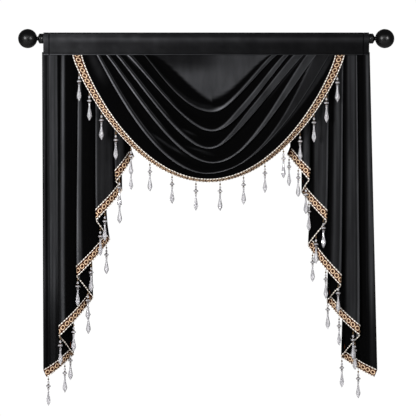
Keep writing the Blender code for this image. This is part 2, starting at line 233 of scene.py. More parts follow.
# The header: one strip of stiffened velvet folded over the rod, its two walls sewn together near the
# bottom, its ends turned in as hems. Its light and shade are painted on: greyer than the rest, lighter
# towards the left, with painted highlights along the rod and the stitched lip.
def brushed_pile():
    """A shared effect: the soft patches and short hairs of velvet, and the height of its nap."""
    group = bpy.data.node_groups.new("brushed_pile", "ShaderNodeTree")
    face = group.interface
    face.new_socket("Vector", in_out="INPUT", socket_type="NodeSocketVector")
    streak = face.new_socket("Streak", in_out="INPUT", socket_type="NodeSocketFloat")
    streak.default_value = 30
    hair = face.new_socket("Hair", in_out="INPUT", socket_type="NodeSocketFloat")
    hair.default_value = 900
    face.new_socket("Patches", in_out="OUTPUT", socket_type="NodeSocketFloat")
    face.new_socket("Height", in_out="OUTPUT", socket_type="NodeSocketFloat")
    enter = group.nodes.new("NodeGroupInput")
    leave = group.nodes.new("NodeGroupOutput")
    stretch = new_node(group, "Mapping", {"Scale": (1, 1, 0.16)})
    soft = new_node(group, "TexNoise", {"Detail": 3})
    fine = new_node(group, "TexNoise", {"Detail": 2})
    both = new_node(group, "Math", {1: 0.35}, operation="MULTIPLY_ADD")
    wire(group, (enter, "Vector", stretch, "Vector"), (stretch, "Vector", soft, "Vector"),
         (enter, "Vector", fine, "Vector"), (enter, "Streak", soft, "Scale"), (enter, "Hair", fine, "Scale"),
         (soft, "Fac", leave, "Patches"), (fine, "Fac", both, 0), (soft, "Fac", both, 2),
         (both, 0, leave, "Height"))
    return group


pile_and_painted_light = brushed_pile()
LOOK_TO_LIGHT = 2.2  # from how light a tone looks to how much light it sends back


def velvet(name, streak, sheen):
    """Black velvet, its light and shade painted on by an attribute: 0 where it is painted black, 1 where it is
    painted fully lit.
    """
    cloth, tree, shader = new_material(name, {
        "Sheen Weight": sheen, "Sheen Roughness": 0.4, "Sheen Tint": (0.86, 0.90, 1.0, 1),
        "Specular IOR Level": 0.04})
    where = new_node(tree, "TexCoord")
    nap = new_node(tree, "Group", {"Streak": streak}, node_tree=pile_and_painted_light)
    # the painted light and shade, read from the cloth's attribute
    painted_light = new_node(tree, "Attribute", attribute_name="pile_and_painted_light")
    uneven = new_node(tree, "MapRange", {"From Min": 0.3, "From Max": 0.7, "To Min": 0.72, "To Max": 1.22})
    light = new_node(tree, "Math", operation="MULTIPLY")
    tone = new_node(tree, "Mix", {"A": (0.0004, 0.0004, 0.0005, 1), "B": (0.100, 0.102, 0.110, 1)},
                    data_type="RGBA", clamp_factor=False)
    gloss = new_node(tree, "MapRange", {"To Min": 0.9, "To Max": 0.55})
    relief = new_node(tree, "Bump", {"Strength": 0.25, "Distance": 0.0006})
    wire(tree, (where, "Object", nap, "Vector"), (nap, "Patches", uneven, "Value"), (painted_light, "Fac", light, 0),
         (uneven, "Result", light, 1), (light, 0, tone, "Factor"), (tone, "Result", shader, "Base Color"),
         (light, 0, gloss, "Value"), (gloss, "Result", shader, "Roughness"),
         (nap, "Height", relief, "Height"), (relief, "Normal", shader, "Normal"))
    return cloth


def sewn_mesh(name, points, faces, uvs):
    """A new piece of points and faces, with its metres of cloth as UV map, left selected."""
    mesh = bpy.data.meshes.new(name)
    mesh.from_pydata(points, [], faces)
    layer = mesh.uv_layers.new(name="cloth")
    for loop in mesh.loops:
        layer.data[loop.index].uv = uvs[loop.vertex_index]
    piece = bpy.data.objects.new(name, mesh)
    scene.collection.objects.link(piece)
    piece.select_set(True)
    bpy.context.view_layer.objects.active = piece
    return piece


def cloth_piece(name, points, quads, uvs, thickness, material, painted_lightness):
    """A sheet of a grid of points, with the painted light and shade given at each point."""
    piece = sewn_mesh(name, points, quads, uvs)
    # the painted light and shade goes onto the cloth as an attribute
    painted_light = piece.data.attributes.new("pile_and_painted_light", "FLOAT", "POINT")
    painted_light.data.foreach_set("value", [max(0.0, light) ** LOOK_TO_LIGHT for light in painted_lightness])
    painted_edge_shade = piece.modifiers.new("thickness", "SOLIDIFY")
    painted_edge_shade.thickness = thickness
    painted_edge_shade.offset = 0
    painted_edge_shade.use_even_offset = False
    bpy.ops.object.modifier_apply(modifier="thickness")
    bpy.ops.object.shade_smooth_by_angle(angle=math.radians(50))
    piece.select_set(False)
    piece.data.materials.append(material)
    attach(piece, "root")
    return piece


def grid(rows, columns, flipped=False):
    """The faces between the points of a grid."""
    quads = []
    for row in range(rows - 1):
        for column in range(columns - 1):
            here = row * columns + column
            quad = (here, here + columns, here + columns + 1, here + 1)
            quads.append(quad[::-1] if flipped else quad)
    return quads


def between(start, end, share):
    return start + (end - start) * share


def bump(way, middle, width):
    """1 in the middle, fading out evenly on both sides."""
    return math.exp(-(((way - middle) / width) ** 2))


HEADER_HALF = 0.600
HEADER_TOP = 0.0225
HEADER_BOTTOM = -0.0605
HEADER_CLOTH = 0.0015
ROD_RADIUS = 0.016
GAP = 0.0003  # between pieces that touch
wrap = ROD_RADIUS + 1.5 * GAP + HEADER_CLOTH / 2
crease = HEADER_TOP - HEADER_CLOTH / 2
leaves = 90 - math.degrees(math.acos(wrap / crease))
WRAP_STEPS = 16
turns = [between(-12, leaves, step / WRAP_STEPS) for step in range(WRAP_STEPS + 1)]
FRONT_WALL = [(-0.01005, HEADER_BOTTOM), (-0.0108, -0.0603), (-0.0115, -0.0596), (-0.0118, -0.0586),
              (-0.0112, -0.0575), (-0.0101, -0.0566), (-0.0100, -0.0558), (-0.0104, -0.0548),
              (-0.0106, -0.053), (-0.0114, -0.045), (-0.0127, -0.032), (-0.0145, -0.018)]
BACK_WALL = [(0.0142, -0.018), (0.0122, -0.032), (0.0106, -0.045), (0.0098, -0.0562),
             (0.00955, HEADER_BOTTOM)]
over_rod = [(wrap * math.cos(math.radians(turn)), wrap * math.sin(math.radians(turn))) for turn in turns]
section = FRONT_WALL + [(-y, z) for y, z in over_rod] + [(-0.0006, crease - 0.0001)]
section += [(0.0006, crease - 0.0001)] + over_rod[::-1] + BACK_WALL


def run_lengths(run):
    """The way along a run of flat points up to each of them."""
    lengths = [0.0]
    for start, end in zip(run, run[1:]):
        lengths.append(lengths[-1] + math.hypot(end[0] - start[0], end[1] - start[1]))
    return lengths


SIDE_HEM = 0.0215
STITCH_HALF = 0.0016  # half the width of the groove that the side stitching makes
marks = [-HEADER_HALF, -HEADER_HALF + 0.002]
marks += [-HEADER_HALF + SIDE_HEM + offset for offset in (-0.003, -0.0012, 0, 0.0012, 0.003)]
HEADER_STEPS = 120
inner = HEADER_HALF - SIDE_HEM - 0.008
hem_marks = [-x for x in reversed(marks)]
marks += [between(-inner, inner, step / HEADER_STEPS) for step in range(HEADER_STEPS + 1)] + hem_marks
points, uvs, painted_lightness = [], [], []
for (y, z), length in zip(section, run_lengths(section)):
    for x in marks:
        below_rod = min(1.0, max(0.0, -z - 0.015) / 0.02) * min(1.0, max(0.0, z - HEADER_BOTTOM) / 0.006)
        slack = 0.0011 * noise.noise(Vector((x * 11, z * 30, 3)))
        slack += 0.0004 * noise.noise(Vector((x * 45, z * 60, 7)))
        seam = abs(abs(x) - (HEADER_HALF - SIDE_HEM)) < STITCH_HALF
        face = -1 if y < 0 else 1
        points.append(Vector((x, y + face * (slack * below_rod - (0.0008 if seam else 0)), z)))
        uvs.append((x, length))
        # painted light that falls off from the left towards the right, with random mottling
        wear_and_painted_light = 0.275 - 0.14 * x / HEADER_HALF + 0.08 * (x / HEADER_HALF) ** 2
        mottled = 1 + 0.22 * noise.noise(Vector((x * 6, z * 35, 1)))
        light = wear_and_painted_light * (mottled + 0.18 * noise.noise(Vector((x * 40, z * 90, 5))))
        # painted highlights: a broad band where the cloth rounds over the rod, and a thin line near the top
        light += 0.21 * bump(z, -0.0045, 0.010) + 0.10 * bump(z, 0.0133, 0.003)
        # painted shade along the top crease
        if z > 0.0150:
            light = max(0.02, 2.2 * wear_and_painted_light - 0.5) if z < 0.0188 else 0.03
        # at the front wall's foot: a painted highlight on the stitched lip and painted shade in the groove above
        # it
        if z < -0.0545 and y < 0:
            light = 1.65 * wear_and_painted_light if z < -0.0570 else 0.5 * wear_and_painted_light
        # painted shade in the side hems' stitch grooves
        painted_lightness.append(0.30 * light if seam else light)
laid_velvet = velvet("laid_velvet", streak=14, sheen=0.03)
header = cloth_piece("header_pocket", points, grid(len(section), len(marks), flipped=True), uvs,
                     HEADER_CLOTH, laid_velvet, painted_lightness)
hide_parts("header")


# The swag: one width of velvet hung in five soft folds between two rows of pleats. Its top edge and
# the pleats are sewn between the header's walls; its hem is rolled under behind the braid.
CLOTH = 0.0012
TUCK_TOP = -0.0500  # the cloth's top edge in the header, and where the cloth comes out below it
TUCK_END = -0.0615
SWAG_GUIDES = [
    # left, right, low_x, low_z, round_left, round_right, full, forward, lift
    (-0.1850, 0.2240, 0.0110, -0.0616, 3.0, 3.0, 1.0, 0.000, 0.000),  # top edge
    (-0.2273, 0.2576, 0.0211, -0.2706, 1.20, 0.32, 0.91, 0.038, 0.018),  # fold 1
    (-0.2899, 0.3012, 0.0231, -0.3410, 0.39, 0.42, 0.93, 0.050, 0.022),  # fold 2
    (-0.3297, 0.3554, 0.0113, -0.4057, 0.40, 0.24, 0.95, 0.060, 0.020),  # fold 3
    (-0.3665, 0.4035, 0.0265, -0.4590, 0.58, 0.47, 0.94, 0.068, 0.017),  # fold 4
    (-0.4005, 0.4520, 0.0040, -0.4982, 1.72, 1.76, 0.965, 0.075, 0.012),  # fold 5
    (-0.4587, 0.4760, 0.0085, -0.5180, 3.0, 3.0, 1.2, 0.084, 0.006),  # top of the braid
    (-0.4922, 0.5094, 0.0085, -0.5280, 3.0, 3.0, 1.2, 0.058, 0.000),  # hem
]
SWAG_HANG = -0.0040  # depth of the cloth where it leaves the header
SWAG_FREE = -0.0660  # height below which the folds begin to swell forward
FLAT_LIFT = 0.0012  # how far the plain cloth and the pleats stand off at the header
PLEAT_LIFT = 0.0044
PLEATS = (0.6, 5.2)
SWELL = 0.65  # powers: how soon the folds come forward, and how soon they stand off
LIFT = 0.5
FOLDS = 5
BRAID_TOP = 6  # the guides of the braid's two edges
HEM_EDGE = 7


def guide_values(place):
    """The guides' values at a place between two of them."""
    first = min(max(int(math.floor(place)), 0), HEM_EDGE - 1)
    return [between(a, b, place - first) for a, b in zip(SWAG_GUIDES[first], SWAG_GUIDES[first + 1])]


def bend(across, roundness):
    """How far up a guide has come on its way from the middle (0) to its end (1)."""
    return (math.hypot(across, roundness) - roundness) / (math.hypot(1, roundness) - roundness)


def swag_point(place, share, across):
    """A point of the swag: place among the guides, share of the fold's lift, way across from -1 to 1."""
    left, right, low_x, low_z, round_left, round_right, full, forward, lift = guide_values(place)
    roundness = round_left if across < 0 else round_right
    depth = max(0.0, 1 - bend(abs(across), roundness)) ** (1 / full)
    x = low_x + abs(across) * ((left if across < 0 else right) - low_x)
    z = between(TUCK_END, low_z, depth)
    hung = max(0.0, (SWAG_FREE - z) / max(SWAG_FREE - low_z, 0.01))
    pleat = PLEAT_LIFT if PLEATS[0] < place < PLEATS[1] else FLAT_LIFT
    stands = between(pleat, lift, hung**LIFT) if lift > 0 else 0.0
    return Vector((x, SWAG_HANG - forward * hung**SWELL - stands * share, z))


# Down each fold: place between guides, share of the lift, way down the belly (1 at the lip)
FIRST_BELLY = [(0.0, 0.0, 0.0), (0.25, 0.0, 0.25), (0.48, 0.0, 0.48), (0.62, 0.14, 0.62), (0.76, 0.60, 0.76),
               (0.86, 0.93, 0.86), (0.92, 1.0, 0.92), (0.97, 0.96, 0.97)]
BELLY = [(-0.08, 0.0, 0.0), (0.10, 0.02, 0.17), (0.30, 0.10, 0.35), (0.46, 0.32, 0.50), (0.60, 0.62, 0.63),
         (0.72, 0.84, 0.74), (0.82, 0.97, 0.83), (0.91, 1.02, 0.92), (0.97, 0.96, 0.97)]
LIP = [(1.0, 0.83, 1.0), (1.030, 0.66, 1.04), (1.038, 0.42, 1.08), (1.0, 0.14, 1.16)]
LAST_BELLY = [(4.92, 0.0, 0.0), (5.08, 0.10, 0.15), (5.25, 0.30, 0.3), (5.5, 0.62, 0.5), (5.75, 0.88, 0.75),
              (6.0, 1.0, 1.0)]
# every row of the five folds and the belly behind the braid: place, share of the lift, way down, fold
keys = [(place, share, down, 1) for place, share, down in FIRST_BELLY + LIP]
for fold in range(2, FOLDS + 1):
    keys += [(fold - 1 + place, share, down, fold) for place, share, down in BELLY + LIP]
keys += [(place, share, down, FOLDS + 1) for place, share, down in LAST_BELLY]


def swell(way, start, end):
    """0 before start, 1 after end, with soft corners."""
    way = min(max((way - start) / (end - start), 0.0), 1.0)
    return way * way * (3 - 2 * way)


# Where the painted light band of each belly starts on the right side: at the middle, how much further up it
# starts at the pleats, over what share of the way it gets there, and how much the slope bends
BAND_STARTS = {1: (0.98, 0.17, 0.30), 4: (1.0, 0.05, 0.62), 5: (1.05, 0.12, 0.93)}
# The same where it starts in two steps: at the middle, at the side, how far out the step is over, slope
BAND_STEPS = {2: (0.95, 0.71, 0.40, 0.07), 3: (0.99, 0.44, 0.48, 0.02)}


def swag_painted_light(fold, down, across, x, z):
    """Painted light and shade: painted highlights along the lips, a painted lit band above them on the right side,
    painted shade between.
    """
    away = abs(across)
    if fold > FOLDS:
        # the belly behind the braid: a painted lit band on the right, a painted highlight near the left end
        if across > 0:
            reach = 0.15 + 0.52 * away**4
            return 0.33 * swell(away, 0.2, 0.6) * (1 - swell(down, reach - 0.05, reach + 0.05))
        return 0.30 * swell(away, 0.82, 0.94) * bump(down, 0.4, 0.3)
    if fold in BAND_STARTS:
        middle, slope, curve = BAND_STARTS[fold]
        start = middle - slope * away - curve * away**2
    else:
        middle, side, reach, slope = BAND_STEPS[fold]
        start = between(middle, side, swell(away, 0, reach)) - slope * away
    start = min(start, 0.94)
    body = 0.32 if fold == 5 else 0.50
    line = between(0.60, 0.24, swell(away, 0.0, 0.5)) + (0.35 * (1 - away) if fold == 5 else 0)
    right = body + 0.28 * bump(down, start + 0.05, 0.045) + line * bump(down, 1.01, 0.045)
    right *= swell(down, start - 0.03, start + 0.03)
    if fold == 4:
        right = max(right, 0.27 * (1 - swell(down, 0.22, 0.36)) * swell(away, 0.3, 0.9))
    peak = between(1.00, 0.82, swell(away, 0.0, 0.2)) + 0.34 * swell(away, 0.4, 0.85) if fold > 1 else 0.66
    soft = swell(down, between(0.925, 0.77, swell(away, 0.0, 0.3)), 1.0) ** 1.5
    sharp = max(0.22 * swell(down, 0.7, 0.8), swell(down, 0.87, 0.99))
    left = peak * between(soft, sharp, swell(away, 0.3, 0.5))
    left = max(left, 0.50 * bump(down, 0.79, 0.045) * swell(away, 0.35, 0.55))
    if fold == 3:
        left = max(left, 0.45 * (1 - swell(down, 0.2, 0.34)) * swell(away, 0.80, 0.92))
    if fold == 1:
        left = max(0.2 * swell(down, 0.85, 0.92), peak * bump(down, 1.0, 0.035))
    band = between(left, right, swell(across, -0.06, 0.14))
    if fold == 1:
        # fold 1: a painted lit patch at the top of the middle, lighter to the right and further down, with painted
        # shade below it
        flat_end = 0.79 - 0.20 * away - 0.32 * away**2 if across > 0 else 0.82 - 0.62 * away
        wear_and_painted_light = between(0.27, 0.53, swell(x, -0.03, 0.08))
        wear_and_painted_light = between(wear_and_painted_light, 0.63, swell((-z - 0.064) / 0.10, 0.15, 0.8))
        band = max(band, wear_and_painted_light * (1 - swell(down, flat_end - 0.05, flat_end + 0.05)))
    return band * (1 - swell(down, 1.03, 1.12))


def swag_ripple(fold, down, across):
    """The narrow groove and roll that run beside each lip on the left side, up to the pleats."""
    if fold > FOLDS or down > 1 or across > 0 or fold == 1:
        return 0.0
    return (0.10 * bump(down, 0.78, 0.05) - 0.12 * bump(down, 0.89, 0.035)) * swell(-across, 0.25, 0.7)


swag_rows = []
for before, after in zip(keys, keys[1:]):
    if before[3] != after[3]:
        swag_rows.append(before)
        continue
    same = [key for key in keys if key[3] == before[3]]
    at = same.index(before)
    window = [same[max(at - 1, 0)], before, after, same[min(at + 2, len(same) - 1)]]
    for step in range(3):
        t = step / 3
        row = [0.5 * (2 * b + (c - a) * t + (2 * a - 5 * b + 4 * c - d) * t * t + (3 * b - a - 3 * c + d) * t**3)
               for a, b, c, d in zip(*window)]
        swag_rows.append((row[0], row[1], row[2], before[3]))
swag_rows.append(keys[-1])
swag_rows += [(BRAID_TOP + step / 4, 1 - step / 4, 1.0, FOLDS + 1) for step in (1, 2, 3, 4)]
SWAG_SPREAD = math.radians(72)
SWAG_COLUMNS = 145  # closer together towards the pleats
turns = [SWAG_SPREAD * (2 * step / (SWAG_COLUMNS - 1) - 1) for step in range(SWAG_COLUMNS)]
swag_across = [math.sin(turn) / math.sin(SWAG_SPREAD) for turn in turns]

# Creases pressed or drawn into the bellies: ends in the front view, width, height, painted highlight along the
# crease
SWAG_CREASES = [
    ((-0.2146, -0.3418), (-0.1040, -0.4200), 0.0042, 0.0028, 0.42),
    ((-0.1703, -0.3794), (-0.0450, -0.4476), 0.0042, 0.0024, 0.42),
    ((-0.0980, -0.3320), (-0.0260, -0.3645), 0.0040, 0.0020, 0.38),
    ((-0.0930, -0.3945), (0.0420, -0.4325), 0.0042, 0.0020, 0.32),
    ((-0.0440, -0.4180), (0.0500, -0.4370), 0.0036, 0.0012, 0.20),
    ((0.1300, -0.3000), (0.2300, -0.2050), 0.0060, 0.0020, 0.12),
]

points, painted_lightness = [], []
for place, share, down, fold in swag_rows:
    for out in swag_across:
        point = swag_point(place, share + swag_ripple(fold, down, out), out)
        # each point's painted light and shade
        painted_look = swag_painted_light(fold, down, out, point.x, point.z)
        for start, end, width, height, gain in SWAG_CREASES if 0.15 < down < 0.85 else ():
            line = Vector((end[0] - start[0], end[1] - start[1]))
            from_start = Vector((point.x - start[0], point.z - start[1]))
            along = from_start.dot(line) / line.length_squared
            if 0 < along < 1:
                aside = abs(from_start.cross(line)) / line.length
                pressed = bump(aside, 0, width) * math.sin(math.pi * along) * swell(down, 0.15, 0.3)
                point.y -= height * pressed
                painted_look = max(painted_look, gain * pressed)
        points.append(point)
        painted_lightness.append(painted_look)
rows = len(swag_rows)
quads = grid(rows, SWAG_COLUMNS)
# the top edge and both ends of the pleats go on up into the header
edge = [row * SWAG_COLUMNS for row in range(rows - 1, 0, -1)]
edge += list(range(SWAG_COLUMNS))
edge += [row * SWAG_COLUMNS + SWAG_COLUMNS - 1 for row in range(1, rows)]
tucked = {}
for corner in edge:
    tucked[corner] = len(points)
    points.append(Vector((points[corner].x, points[corner].y, TUCK_TOP)))
    # the cloth hidden in the header keeps a little painted light
    painted_lightness.append(0.1)
for start, end in zip(edge, edge[1:]):
    quads.append((tucked[start], start, end, tucked[end]))
uvs = [(point.x, point.z) for point in points]
soft_velvet = velvet("soft_velvet", streak=26, sheen=0.008)
swag = cloth_piece("swag_cloth", points, quads, uvs, CLOTH, soft_velvet, painted_lightness)
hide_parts("swag")


# The cascades: one slanted length of the same velvet at each side, pleated back and forth in five
# panels, sewn behind the swag in the header, its outer edge turned in as a narrow side hem.

# The folds from the inner edge outwards: place, distance from the middle at the header and at the hem,
# the hem's height there, and how much the fold flares before it reaches its hem
LEFT_FOLDS = [
    ("back", 0.285, 0.2779, -0.4347, 0.0),
    ("front", 0.345, 0.3309, -0.5287, 0.004),
    ("back", 0.318, 0.3112, -0.5585, 0.0),
    ("front", 0.4075, 0.4035, -0.6707, 0.004),
    ("back", 0.385, 0.3565, -0.7404, 0.0115),
    ("front", 0.4705, 0.4745, -0.8793, 0.0045),
    ("back", 0.440, 0.4196, -0.9559, 0.0),
    ("front", 0.5354, 0.5398, -1.0984, 0.0045),
    ("back", 0.510, 0.4911, -1.1673, 0.0),
    ("front", 0.6050, 0.5997, -1.2470, 0.0),
]
RIGHT_FOLDS = [
    ("back", 0.3105, 0.3105, -0.4262, 0.0),
    ("front", 0.383, 0.3780, -0.5221, 0.005),
    ("back", 0.352, 0.3528, -0.5650, 0.0),
    ("front", 0.4520, 0.4415, -0.6740, 0.005),
    ("back", 0.412, 0.3768, -0.7609, 0.0),
    ("front", 0.5044, 0.4940, -0.9120, 0.0045),
    ("back", 0.472, 0.4472, -0.9688, 0.0),
    ("front", 0.5549, 0.5632, -1.0945, 0.0045),
    ("back", 0.528, 0.5007, -1.1764, 0.0),
    ("front", 0.6032, 0.6305, -1.2466, 0.0),
]
FLARE_POWER = 12
INNER_CUT = 0.0120  # how far the square-cut corners stand in from the cloth's two edges
OUTER_CUT = 0.0115
CUT_REACH = 0.6  # share of a panel over which the cloth is drawn to its square-cut corner
# place, depth at the header, depth a metre below, radius at the header, radius below
FOLD_DEPTHS = [
    ("front", -0.0010, -0.0050, 0.0009, 0.0062),
    ("back", 0.0070, 0.0500, 0.0009, 0.0105),
]
SWELL_BELOW = 0.004  # how far the middle of a panel swells forward a metre below the header
PANEL_CURVE = 1.5
FOLD_TURNS = tuple(range(-90, 91, 18))
FOLD_MIDDLE = len(FOLD_TURNS) // 2
PANEL_STEPS = tuple((step + 1) / 40 for step in range(39))
RETURN_STEPS = tuple((step + 1) / 9 for step in range(8))
CASCADE_ROWS = 56  # rows of cloth from the header to the braid, and behind the braid
HEM_ROWS = 4
BRAID_WIDTH = 0.0285


def cascade_plan(folds, height):
    """The cloth's run at one height from the inner edge outwards, and each point's place."""
    down = max(0.0, TUCK_END - height)
    bends = {
        place: (between(depth, depth_below, down), between(radius, radius_below, down))
        for place, depth, depth_below, radius, radius_below in FOLD_DEPTHS
    }
    run = []
    marks = []
    for number, (place, top, hem, hem_height, flare) in enumerate(folds):
        share = down / (TUCK_END - hem_height)
        reach = between(top, hem + flare, share) - flare * min(share, 1) ** FLARE_POWER
        depth, bend_radius = bends[place]
        outer = 1 if place == "front" else -1
        if number in (0, len(folds) - 1):
            fold = [(reach, depth - outer * bend_radius)]
        else:
            fold = []
            for turn in FOLD_TURNS:
                angle = math.radians(turn)
                out = reach - outer * bend_radius * (1 - math.cos(angle))
                fold.append((out, depth + bend_radius * math.sin(angle)))
        if run:
            start, end = run[-1], fold[0]
            is_panel = number % 2 == 1
            for share in PANEL_STEPS if is_panel else RETURN_STEPS:
                level = 1 - (1 - share) ** PANEL_CURVE if is_panel else share**PANEL_CURVE
                deep = between(start[1], end[1], level)
                if is_panel:
                    deep -= SWELL_BELOW * down * math.sin(math.pi * share) ** 2
                run.append((between(start[0], end[0], share), deep))
                marks.append(number - 1 + share)
        run += fold
        marks += [number] * len(fold)
    return run, marks


def span_at(lengths, length):
    """The stretch that a length falls in, and the share of the stretch that lies before it."""
    low, high = 0, len(lengths) - 1
    while high - low > 1:
        half = (low + high) // 2
        if lengths[half] <= length:
            low = half
        else:
            high = half
    return low, (length - lengths[low]) / (lengths[low + 1] - lengths[low])


def cloth_at(run, lengths, length):
    """The point at a length along the run; the cloth goes straight on before its inner edge."""
    if length < 0:
        return run[0][0] + length, run[0][1]
    low, part = span_at(lengths, length)
    return between(run[low][0], run[low + 1][0], part), between(run[low][1], run[low + 1][1], part)


def drawn_length(run, lengths, column, cut):
    """How far along the run a column's point lies once it is drawn inwards by a cut."""
    goal = run[column][0] - cut
    if cut == 0 or goal < run[0][0]:
        return lengths[column] if cut == 0 else goal - run[0][0]
    step = column
    while run[step][0] > goal:
        step -= 1
    part = (goal - run[step][0]) / (run[step + 1][0] - run[step][0])
    return between(lengths[step], lengths[step + 1], part)


def cascade_hem(folds):
    """The hem's height and slope at each point of the plan, its crowns and its square-cut ends."""
    _, marks = cascade_plan(folds, TUCK_END)
    crowns = []
    for number in range(len(folds)):
        owned = [index for index, mark in enumerate(marks) if mark == number]
        crowns.append(owned[0] if len(owned) == 1 else owned[FOLD_MIDDLE])
    ends = len(folds) - 1
    cuts = [INNER_CUT * max(0.0, 1 - mark / CUT_REACH) + OUTER_CUT * max(0.0, 1 - (ends - mark) / CUT_REACH)
            for mark in marks]
    heights = [0.0] * len(marks)
    slopes = [0.0] * len(marks)
    for number in range(len(folds) - 1):
        first, last = crowns[number], crowns[number + 1]
        top, foot = folds[number][3], folds[number + 1][3]
        run, _ = cascade_plan(folds, (top + foot) / 2)
        lengths = run_lengths(run)
        flat = [drawn_length(run, lengths, index, cuts[index]) for index in range(first, last + 1)]
        for index, length in enumerate(flat, start=first):
            heights[index] = between(top, foot, (length - flat[0]) / (flat[-1] - flat[0]))
            slopes[index] = (top - foot) / (flat[-1] - flat[0])
    return heights, slopes, crowns, cuts


# For each panel from the inner edge outwards: where its painted light starts, the cloth before it painted dark as
# in the shadow of the fold in front, over how much it comes up, its painted light, and the painted highlight of
# its outer lip
LEFT_PAINTED_LOOKS = [(0.30, 0.20, 0.42, 0.60), (0.28, 0.08, 0.35, 0.70), (0.80, 0.12, 0.40, 0.95),
              (0.80, 0.12, 0.66, 0.28), (0.38, 0.06, 0.57, 0.05)]
RIGHT_PAINTED_LOOKS = [(0.60, 0.15, 0.52, 0.32), (0.385, 0.15, 0.44, 0.65), (0.605, 0.18, 0.44, 0.70),
               (0.48, 0.18, 0.42, 0.70), (0.62, 0.22, 0.46, 0.05)]
# Creases down the panels: panel, way across it, half width, height, change of painted light (painted highlight up,
# painted shade down)
LEFT_CREASES = [(4, 0.56, 0.030, 0.0012, 0.04), (4, 0.69, 0.040, 0.0012, 0.05), (4, 0.755, 0.026, -0.0012, -0.36),
                (4, 0.83, 0.032, 0.0005, -0.42), (4, 0.89, 0.036, -0.0008, -0.36), (4, 0.984, 0.02, 0, -0.5),
                (3, 0.91, 0.030, 0.0010, 0.10), (2, 0.93, 0.040, 0.0015, 0.20),
                (1, 0.46, 0.040, 0.0010, 0.04), (1, 0.84, 0.030, -0.0008, -0.08)]
RIGHT_CREASES = [(4, 0.76, 0.03, -0.0008, -0.12), (4, 0.86, 0.04, 0.0008, 0.14), (4, 0.984, 0.02, 0, -0.30),
                 (3, 0.95, 0.025, -0.0008, -0.14), (3, 0.86, 0.03, 0.0008, 0.05), (2, 0.94, 0.03, -0.0006, -0.12),
                 (2, 0.80, 0.04, 0.0008, 0.05), (1, 0.94, 0.03, -0.0006, -0.12), (1, 0.645, 0.020, -0.0008, -0.07),
                 (1, 0.80, 0.030, 0.0008, 0.04), (0, 0.88, 0.05, 0.0008, 0.08)]
hanging_velvet = velvet("hanging_velvet", streak=30, sheen=0.02)


def hang_cascade(name, side, folds, painted_looks, creases, node):
    """One cascade, its rows of points going down from the header to the hem."""
    heights, slopes, _, cuts = cascade_hem(folds)
    _, marks = cascade_plan(folds, TUCK_END)
    columns = len(heights)
    braid_tops = [height + BRAID_WIDTH * math.hypot(1, slope) - slope * cuts[column]
                  for column, (height, slope) in enumerate(zip(heights, slopes))]
    levels = [[TUCK_TOP] * columns]
    levels += [[between(TUCK_END, top, step / CASCADE_ROWS) for top in braid_tops] for step in range(CASCADE_ROWS)]
    levels += [[between(top, foot, step / HEM_ROWS) for top, foot in zip(braid_tops, heights)]
               for step in range(HEM_ROWS + 1)]
    points, painted_lightness, uvs = [], [], []
    for level, row in enumerate(levels):
        band = max(0.0, (level - len(levels) + HEM_ROWS + 1) / HEM_ROWS)
        for column, height in enumerate(row):
            run = cascade_plan(folds, height)[0]
            reach, depth = run[column]
            if cuts[column] * band:
                lengths = run_lengths(run)
                reach, depth = cloth_at(run, lengths, drawn_length(run, lengths, column, cuts[column] * band))
            number = math.floor(marks[column])
            along = marks[column] - number
            down = swell(TUCK_END - height, 0.0, 0.25)
            painted_look = 0.0
            # painted light across a panel: dark up to its start as in the shadow of the fold in front, then lit,
            # then the painted highlight of its outer lip
            if number % 2 == 0 and along > 0:
                start, rise, body, lip = painted_looks[number // 2]
                painted_look = body * swell(along, start, start + rise)
                painted_look = between(painted_look, lip, swell(along, 0.96, 1.0))
                wave = noise.noise(Vector((reach * 130, height * 2.5, number + 5 * side)))
                drift = 0.02 * noise.noise(Vector((number, height * 4, side)))
                painted_look *= 1 + 0.30 * wave
                depth -= 0.0010 * wave * down * math.sin(math.pi * along)
                for panel, middle, width, rise, gain in creases:
                    if panel == number // 2:
                        pressed = bump(along, middle + drift, width)
                        depth -= rise * pressed * down
                        painted_look += gain * pressed
                # painted shade, darker towards the foot of the outermost panel
                if number == len(folds) - 2:
                    painted_look *= 1 - 0.5 * swell(-height, 0.85, 1.10)
            # the crown of a front fold takes the painted highlight of its lip
            elif number % 2 == 1 and along == 0:
                painted_look = painted_looks[number // 2][3]
            points.append(Vector((side * reach, depth, height)))
            uvs.append((reach, height))
            painted_lightness.append(painted_look)
    cloth = cloth_piece(name, points, grid(len(levels), columns, flipped=side < 0), uvs, CLOTH,
                        hanging_velvet, painted_lightness)
    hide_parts(node)
    return cloth


left_cascade = hang_cascade("cascade_cloth_left", -1, LEFT_FOLDS, LEFT_PAINTED_LOOKS, LEFT_CREASES, "cascade_left")
right_cascade = hang_cascade("cascade_cloth_right", 1, RIGHT_FOLDS, RIGHT_PAINTED_LOOKS, RIGHT_CREASES, "cascade_right")


# The braid: a woven tape with a gold chain of rings on a brown ground and a cream cord along each
# edge, sewn on the right side of the swag's and the cascades' hems with its lower cord on the edge.
CHAIN_PITCH = 0.0215
TAPE_LOW = CLOTH / 2 + GAP  # the tape's two faces, measured out from the middle of the cloth
TAPE_HIGH = TAPE_LOW + 0.0008
BAND_ROWS = 6  # strips across the band
FINE_STEP = 0.0012  # step along the hem


